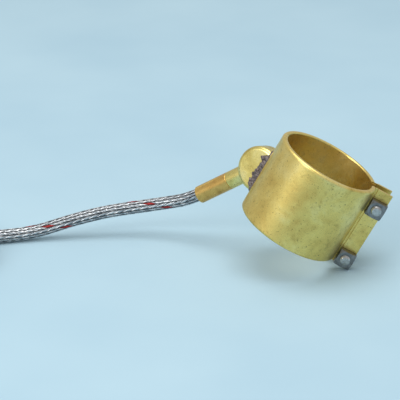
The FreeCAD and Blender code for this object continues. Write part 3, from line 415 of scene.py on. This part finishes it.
def brass_finish(name, tones, roughness, speck, heat=None):
    """Worn brass in three tones, with specks, fine scratches and, near a braze, a brown heat tint."""
    material, tree, shader = finish(name, Metallic=1.0)
    place = add(tree, "ShaderNodeTexCoord")
    leaned = add(tree, "ShaderNodeMapping")
    leaned.inputs["Rotation"].default_value = (0, -math.radians(28.8), 0)
    tree.links.new(place.outputs["Object"], leaned.inputs["Vector"])
    spot = leaned.outputs["Vector"]
    clouds = add(tree, "ShaderNodeTexNoise", Scale=75.0, Detail=5.0, Roughness=0.62, Distortion=0.4)
    blotches = add(tree, "ShaderNodeTexNoise", Scale=330.0, Detail=6.0, Roughness=0.7)
    specks = add(tree, "ShaderNodeTexNoise", Scale=1300.0, Detail=2.0, Roughness=0.5)
    grain = add(tree, "ShaderNodeTexNoise", Scale=2600.0, Detail=3.0, Roughness=0.7)
    marks = add(tree, "ShaderNodeTexNoise", Scale=170.0, Detail=4.0, Roughness=0.6)
    for pattern in (clouds, blotches, specks, grain, marks):
        tree.links.new(spot, pattern.inputs["Vector"])
    tone = ramp(tree, clouds.outputs["Fac"], (0.32, tones[0]), (0.5, tones[1]), (0.66, tones[2]))
    stains = ramp(tree, blotches.outputs["Fac"], (0.3, 0.72), (0.46, 0.96), (0.6, 1.0))
    dots = ramp(tree, specks.outputs["Fac"], (0.26, speck), (0.34, 1.0))
    grains = ramp(tree, grain.outputs["Fac"], (0.36, 0.84), (0.6, 1.0))
    lines = ramp(
        tree, marks.outputs["Fac"], (0.425, 1.0), (0.432, speck + 0.25), (0.439, 1.0),
    )
    patchy = add(tree, "ShaderNodeMix", data_type="RGBA")
    patchy.inputs["A"].default_value = (1, 1, 1, 1)
    tree.links.new(ramp(tree, clouds.outputs["Fac"], (0.5, 0.0), (0.62, 1.0)), patchy.inputs["Factor"])
    tree.links.new(lines, patchy.inputs["B"])
    for layer in (stains, dots, grains, patchy.outputs["Result"]):
        mixed = add(tree, "ShaderNodeMix", data_type="RGBA", blend_type="MULTIPLY")
        mixed.inputs["Factor"].default_value = 1.0
        tree.links.new(tone, mixed.inputs["A"])
        tree.links.new(layer, mixed.inputs["B"])
        tone = mixed.outputs["Result"]
    if heat is not None:
        centre, inner, outer, tint = heat
        away = add(tree, "ShaderNodeVectorMath", operation="DISTANCE")
        away.inputs[1].default_value = centre
        tree.links.new(place.outputs["Object"], away.inputs[0])
        ragged = add(tree, "ShaderNodeMath", operation="MULTIPLY_ADD")
        ragged.inputs[1].default_value = 0.007
        tree.links.new(blotches.outputs["Fac"], ragged.inputs[0])
        tree.links.new(away.outputs["Value"], ragged.inputs[2])
        near = add(
            tree, "ShaderNodeMapRange", From_Min=inner, From_Max=outer, To_Min=0.85, To_Max=0.0
        )
        tree.links.new(ragged.outputs["Value"], near.inputs["Value"])
        mixed = add(tree, "ShaderNodeMix", data_type="RGBA")
        mixed.inputs["B"].default_value = (*tint, 1)
        tree.links.new(near.outputs["Result"], mixed.inputs["Factor"])
        tree.links.new(tone, mixed.inputs["A"])
        tone = mixed.outputs["Result"]
    tree.links.new(tone, shader.inputs["Base Color"])
    tree.links.new(
        ramp(
            tree, blotches.outputs["Fac"],
            (0.3, roughness + 0.14), (0.5, roughness), (0.7, roughness - 0.05),
        ),
        shader.inputs["Roughness"],
    )
    scratches = add(tree, "ShaderNodeTexNoise", Scale=500.0, Detail=3.0)
    stretched = add(tree, "ShaderNodeMapping")
    stretched.inputs["Scale"].default_value = (1, 1, 14)
    tree.links.new(spot, stretched.inputs["Vector"])
    tree.links.new(stretched.outputs["Vector"], scratches.inputs["Vector"])
    bump(
        tree, shader, (clouds.outputs["Fac"], 0.22, 0.0008), (blotches.outputs["Fac"], 0.18, 0.0001),
        (scratches.outputs["Fac"], 0.07, 0.00005), (grain.outputs["Fac"], 0.16, 0.00004),
    )
    return material


sheath_brass = brass_finish(
    "sheath_brass", [(0.72, 0.52, 0.15), (0.83, 0.64, 0.2), (0.89, 0.73, 0.28)], 0.34, 0.45,
    heat=(cap_foot, 0.0125, 0.0165, (0.3, 0.22, 0.1)),
)
# The lining's brass has lighter tones and fewer specks than the sheath's: its own brass colour plus
# painted light for the shaded bore.
lining_brass_painted_light = brass_finish(
    "lining_brass_painted_light", [(0.84, 0.6, 0.19), (0.9, 0.68, 0.25), (0.94, 0.75, 0.33)], 0.34, 0.5,
)
dress(sheath_brass, "outer_sheath")
dress(lining_brass_painted_light, "inner_sheath")

# Between the sheaths, seen only at the split and through the terminal opening, the flat heating ribbon
# runs between two rolled sheets of mica.
mica, tree, shader = finish("mica", Roughness=0.35, Specular_IOR_Level=0.6)
place = add(tree, "ShaderNodeTexCoord")
flakes = add(tree, "ShaderNodeTexVoronoi", Scale=450.0)
tree.links.new(place.outputs["Object"], flakes.inputs["Vector"])
tree.links.new(
    ramp(tree, flakes.outputs["Distance"], (0.1, (0.62, 0.56, 0.42)), (0.8, (0.35, 0.29, 0.18))),
    shader.inputs["Base Color"],
)
bump(tree, shader, (flakes.outputs["Distance"], 0.4, 0.0001))
dress(mica, "inner_mica", "outer_mica")


def metal_finish(name, low, high, roughness, scale, **constants):
    """A plain metal, dull in patches, with a fine grain."""
    material, tree, shader = finish(name, Metallic=1.0, **constants)
    place = add(tree, "ShaderNodeTexCoord")
    patches = add(tree, "ShaderNodeTexNoise", Scale=scale, Detail=6.0, Roughness=0.65)
    tree.links.new(place.outputs["Object"], patches.inputs["Vector"])
    tree.links.new(
        ramp(tree, patches.outputs["Fac"], (0.35, low), (0.65, high)), shader.inputs["Base Color"]
    )
    tree.links.new(
        ramp(tree, patches.outputs["Fac"], (0.3, roughness + 0.12), (0.65, roughness)),
        shader.inputs["Roughness"],
    )
    bump(tree, shader, (patches.outputs["Fac"], 0.3, 0.00008))
    return material


ribbon_alloy = metal_finish("ribbon_alloy", (0.2, 0.19, 0.18), (0.34, 0.33, 0.32), 0.4, 900.0)
nickel = metal_finish("nickel", (0.45, 0.43, 0.38), (0.66, 0.63, 0.57), 0.3, 900.0)
dress(ribbon_alloy, "heating_ribbon")
dress(nickel, "line_tab", "neutral_tab", "line_barrel", "neutral_barrel", "earth_tag")

# Two steel screws with slotted cheese heads draw the lugs together. Each goes through a washer and
# both lugs into a square nut that sits in a notch of the near lug's hem, and its end stands proud.
fastener_steel = metal_finish("fastener_steel", (0.17, 0.175, 0.18), (0.27, 0.275, 0.28), 0.36, 500.0)
thread_steel = metal_finish("thread_steel", (0.3, 0.3, 0.3), (0.55, 0.55, 0.54), 0.24, 900.0)
dress(fastener_steel, "square_nut_upper", "square_nut_lower", "washer_upper", "washer_lower")

SCREW_AT = 0.0293
HEAD_SEAT = -0.00512
HEAD_HEIGHT = 0.0033
HEAD_RADIUS = 0.00425
SHANK_RADIUS = 0.0025
SCREW_END = 0.00888
THREAD_PITCH = 0.0008
THREAD_DEPTH = 0.00043


def apply_all(piece):
    bpy.context.view_layer.objects.active = piece
    for modifier in list(piece.modifiers):
        bpy.ops.object.modifier_apply(modifier=modifier.name)


def sole(piece):
    """Makes a piece the only one selected, and active."""
    bpy.ops.object.select_all(action="DESELECT")
    piece.select_set(True)
    bpy.context.view_layer.objects.active = piece


def combine(piece, tool, operation):
    """Joins, cuts or trims a piece with a tool, and removes the tool."""
    sole(piece)
    boolean = piece.modifiers.new("combine", "BOOLEAN")
    boolean.operation = operation
    boolean.solver = "EXACT"
    boolean.object = tool
    apply_all(piece)
    bpy.data.objects.remove(tool)


def clamp_screw(label, height, turn):
    """A screw about +Z, with its head at -Z, put in its place in the lugs."""
    bpy.ops.object.select_all(action="DESELECT")
    bpy.ops.mesh.primitive_circle_add(
        vertices=4, radius=0.001, fill_type="NOTHING", location=(0, 0, 0)
    )
    thread = bpy.context.object
    thread.name = label
    shape = bmesh.new()
    root = SHANK_RADIUS - THREAD_DEPTH
    flank = (
        (root, 0), (root, THREAD_PITCH * 0.2), (SHANK_RADIUS, THREAD_PITCH * 0.54),
        (SHANK_RADIUS, THREAD_PITCH * 0.66), (root, THREAD_PITCH),
    )
    corners = [shape.verts.new((x, 0, z)) for x, z in flank]
    for low, high in zip(corners, corners[1:]):
        shape.edges.new((low, high))
    shape.to_mesh(thread.data)
    shape.free()
    wind = thread.modifiers.new("wind", "SCREW")
    wind.axis = "Z"
    wind.angle = 2 * math.pi
    wind.screw_offset = THREAD_PITCH
    wind.iterations = 19
    wind.steps = 28
    wind.render_steps = 28
    wind.use_merge_vertices = True
    wind.merge_threshold = 0.000004
    apply_all(thread)
    bpy.ops.object.mode_set(mode="EDIT")
    bpy.ops.mesh.select_all(action="SELECT")
    bpy.ops.transform.translate(value=(0, 0, HEAD_SEAT - THREAD_PITCH))
    bpy.ops.mesh.remove_doubles(threshold=0.000004)
    for level, keep_below in ((HEAD_SEAT + 0.0003, False), (SCREW_END, True)):
        bpy.ops.mesh.select_all(action="SELECT")
        bpy.ops.mesh.bisect(
            plane_co=(0, 0, level), plane_no=(0, 0, 1), use_fill=True,
            clear_outer=keep_below, clear_inner=not keep_below,
        )
    bpy.ops.mesh.select_all(action="SELECT")
    bpy.ops.mesh.normals_make_consistent(inside=False)
    bpy.ops.object.mode_set(mode="OBJECT")

    bpy.ops.object.select_all(action="DESELECT")
    bpy.ops.mesh.primitive_cylinder_add(
        vertices=56, radius=SHANK_RADIUS + 0.0001, depth=SCREW_END - HEAD_SEAT,
        location=(0, 0, (SCREW_END + HEAD_SEAT) / 2),
    )
    blank = bpy.context.object
    bpy.ops.object.transform_apply(location=True)
    bpy.ops.object.mode_set(mode="EDIT")
    bpy.ops.mesh.select_mode(type="EDGE")
    bpy.ops.mesh.select_all(action="DESELECT")
    shape = bmesh.from_edit_mesh(blank.data)
    for edge in shape.edges:
        edge.select = all(vert.co.z > SCREW_END - 0.0001 for vert in edge.verts)
    bmesh.update_edit_mesh(blank.data)
    bpy.ops.mesh.bevel(offset=0.0012, segments=5, affect="EDGES")
    bpy.ops.object.mode_set(mode="OBJECT")
    combine(thread, blank, "INTERSECT")

    bpy.ops.object.select_all(action="DESELECT")
    bpy.ops.mesh.primitive_cylinder_add(
        vertices=64, radius=HEAD_RADIUS, depth=HEAD_HEIGHT,
        location=(0, 0, HEAD_SEAT - HEAD_HEIGHT / 2),
    )
    head = bpy.context.object
    bpy.ops.object.transform_apply(location=True)
    bpy.ops.object.mode_set(mode="EDIT")
    bpy.ops.mesh.select_mode(type="EDGE")
    bpy.ops.mesh.select_all(action="DESELECT")
    shape = bmesh.from_edit_mesh(head.data)
    for edge in shape.edges:
        edge.select = all(vert.co.z < HEAD_SEAT - HEAD_HEIGHT + 0.0001 for vert in edge.verts)
    bmesh.update_edit_mesh(head.data)
    bpy.ops.mesh.bevel(offset=0.0005, segments=4, affect="EDGES")
    bpy.ops.object.mode_set(mode="OBJECT")
    bpy.ops.object.select_all(action="DESELECT")
    bpy.ops.mesh.primitive_cube_add(
        size=1, location=(0, 0, HEAD_SEAT - HEAD_HEIGHT), scale=(0.0012, 0.012, 0.0026)
    )
    slot = bpy.context.object
    combine(head, slot, "DIFFERENCE")
    bpy.ops.object.select_all(action="DESELECT")
    bpy.ops.mesh.primitive_cylinder_add(
        vertices=56, radius=SHANK_RADIUS - 0.00004, depth=0.0008, location=(0, 0, HEAD_SEAT + 0.0002)
    )
    combine(head, bpy.context.object, "UNION")
    combine(thread, head, "UNION")
    thread.data.transform(
        LEAN @ Matrix.Translation((SCREW_AT, 0, height)) @ Matrix.Rotation(math.radians(90), 4, "X")
        @ Matrix.Rotation(turn, 4, "Z")
    )
    sole(thread)
    bpy.ops.object.shade_smooth_by_angle(angle=math.radians(35))
    thread.data.materials.clear()
    thread.data.materials.append(thread_steel)
    return thread


for where, height, turn in (("upper", 0.0114, 0.0), ("lower", -0.0172, 0.0)):
    screw = clamp_screw(f"{where}_clamp_screw", height, turn)
    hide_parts(f"clamp_screw_{where}")
    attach(screw, f"{where}_screw")

# The terminal cap: a drawn brass drum brazed crosswise on the band, with a short neck let into it.
# The sleeve on the neck is a duller, redder brass, crimped along one side to grip the lead.
cap_brass = brass_finish(
    "cap_brass", [(0.64, 0.5, 0.15), (0.8, 0.66, 0.22), (0.88, 0.77, 0.33)], 0.3, 0.5,
    heat=(cap_foot, 0.0062, 0.0092, (0.36, 0.28, 0.16)),
)
sleeve_brass = brass_finish(
    "sleeve_brass", [(0.62, 0.36, 0.1), (0.78, 0.5, 0.15), (0.88, 0.62, 0.22)], 0.3, 0.5,
)
dress(cap_brass, "terminal_cap", "cap_neck")
dress(sleeve_brass, "crimp_sleeve")
cement, tree, shader = finish("cement", Roughness=0.95)
place = add(tree, "ShaderNodeTexCoord")
grit = add(tree, "ShaderNodeTexNoise", Scale=1500.0, Detail=6.0, Roughness=0.7)
tree.links.new(place.outputs["Object"], grit.inputs["Vector"])
tree.links.new(
    ramp(tree, grit.outputs["Fac"], (0.35, (0.42, 0.4, 0.36)), (0.65, (0.68, 0.66, 0.6))),
    shader.inputs["Base Color"],
)
bump(tree, shader, (grit.outputs["Fac"], 0.6, 0.0001))
dress(cement, "cap_cement")

# The braze round the cap's foot: filler metal that ran unevenly and was left rough, grey-brown with
# scale, spreading in ragged tongues over both pieces.
sole(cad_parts["braze_bead"])
bpy.ops.object.duplicate()
braze = bpy.context.object
braze.name = "rough_braze"
braze.data.name = "rough_braze"
for key in list(braze.keys()):
    del braze[key]
braze.parent = None
bpy.ops.object.mode_set(mode="EDIT")
bpy.ops.mesh.select_all(action="SELECT")
bpy.ops.mesh.remove_doubles(threshold=0.00001)
bpy.ops.object.mode_set(mode="OBJECT")
# On each flat face of the cap the filler spread out from the band in a sheet with a ragged edge,
# given here as how far it reaches from the band at each place along the foot.
FACE_AT = 0.0052
FOOT_LINE = -0.0032
SHEET_RISE = 0.0004
near_edge = [
    (-10.3, 0.8), (-9, 2.6), (-7.6, 4), (-6.9, 3.9), (-6, 4.6), (-5.4, 4.8), (-4.9, 3.6), (-4.3, 3.6),
    (-3.2, 4.9), (-2.5, 5.2), (-2, 4.1), (-1.4, 3.9), (-0.4, 4.2), (0.3, 3.7), (1.2, 3.9), (2.3, 3.5),
    (3.2, 3.8), (4.2, 3.4), (5, 3.7), (5.8, 4.9), (6.6, 5.4), (7.3, 5), (7.9, 3.6), (8.6, 2.9),
    (9.2, 1.7), (10.1, 0.6),
]
for side in (-1, 1):
    edge = [
        (FOOT_LINE + reach / 1000 * (1.35 if side < 0 else 0.9), side * place / 1000)
        for place, reach in near_edge
    ]
    bpy.ops.object.select_all(action="DESELECT")
    bpy.ops.mesh.primitive_circle_add(
        vertices=len(edge) + 2, radius=0.001, fill_type="NGON", location=(0, 0, 0)
    )
    spread = bpy.context.object
    corners = [(FOOT_LINE - 0.0006, edge[0][1]), *edge, (FOOT_LINE - 0.0006, edge[-1][1])]
    for vertex, (x, z) in zip(spread.data.vertices, corners):
        vertex.co = (x, side * (FACE_AT - 0.0001), z)
    bpy.ops.object.mode_set(mode="EDIT")
    bpy.ops.mesh.select_all(action="SELECT")
    bpy.ops.mesh.extrude_region_move(
        TRANSFORM_OT_translate={"value": (0, side * (SHEET_RISE + 0.0001), 0)}
    )
    bpy.ops.mesh.select_all(action="SELECT")
    bpy.ops.mesh.normals_make_consistent(inside=False)
    bpy.ops.object.mode_set(mode="OBJECT")
    spread.data.transform(cap_place)
    spread.select_set(True)
    braze.select_set(True)
    bpy.context.view_layer.objects.active = braze
    bpy.ops.object.join()
remesh = braze.modifiers.new("grain", "REMESH")
remesh.mode = "VOXEL"
remesh.voxel_size = 0.0002
apply_all(braze)
for vertex in braze.data.vertices:
    lumps = noise.noise(vertex.co * 420) * 0.0004 + noise.noise(vertex.co * 1300) * 0.00032
    vertex.co += vertex.normal * (lumps + 0.00005)
bpy.ops.object.shade_smooth()
braze_filler = metal_finish("braze_filler", (0.11, 0.085, 0.08), (0.3, 0.25, 0.235), 0.55, 900.0)
braze.data.materials.clear()
braze.data.materials.append(braze_filler)
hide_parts("braze_bead")
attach(braze, "band")

# Around it: a plain pale blue floor, one wide soft lamp above and a smaller one at the left, in a
# pale neutral room.
bpy.ops.object.select_all(action="DESELECT")
bpy.ops.mesh.primitive_plane_add(size=6, location=(0, 1.2, FLOOR - 0.0001))
floor = bpy.context.object
floor.name = "floor"
bpy.ops.object.transform_apply(location=True)
floor_card, tree, shader = finish("floor_card", Roughness=0.9, Specular_IOR_Level=0.2)
place = add(tree, "ShaderNodeTexCoord")
fibres = add(tree, "ShaderNodeTexNoise", Scale=9.0, Detail=3.0)
tree.links.new(place.outputs["Object"], fibres.inputs["Vector"])
tree.links.new(
    ramp(tree, fibres.outputs["Fac"], (0.3, (0.4, 0.57, 0.67)), (0.7, (0.45, 0.62, 0.71))),
    shader.inputs["Base Color"],
)
floor.data.materials.append(floor_card)
for label, place, aim, width, power in (
    ("top_lamp", (0.0, 0.0, 1.1), (0, 0, 0), 0.8, 6.5),
    ("side_lamp", (-0.75, -0.7, 0.55), (0, 0, 0), 0.45, 4),
):
    lamp = bpy.data.objects.new(label, bpy.data.lights.new(label, "AREA"))
    lamp.data.size = width
    lamp.data.energy = power
    lamp.location = place
    lamp.rotation_euler = (Vector(aim) - Vector(place)).to_track_quat("-Z", "Y").to_euler()
    bpy.context.collection.objects.link(lamp)
world = bpy.data.worlds.new("studio")
world.use_nodes = True
world.node_tree.nodes["Background"].inputs["Color"].default_value = (0.86, 0.88, 0.88, 1)
world.node_tree.nodes["Background"].inputs["Strength"].default_value = 0.72
bpy.context.scene.world = world
bpy.context.scene.view_settings.view_transform = "Standard"
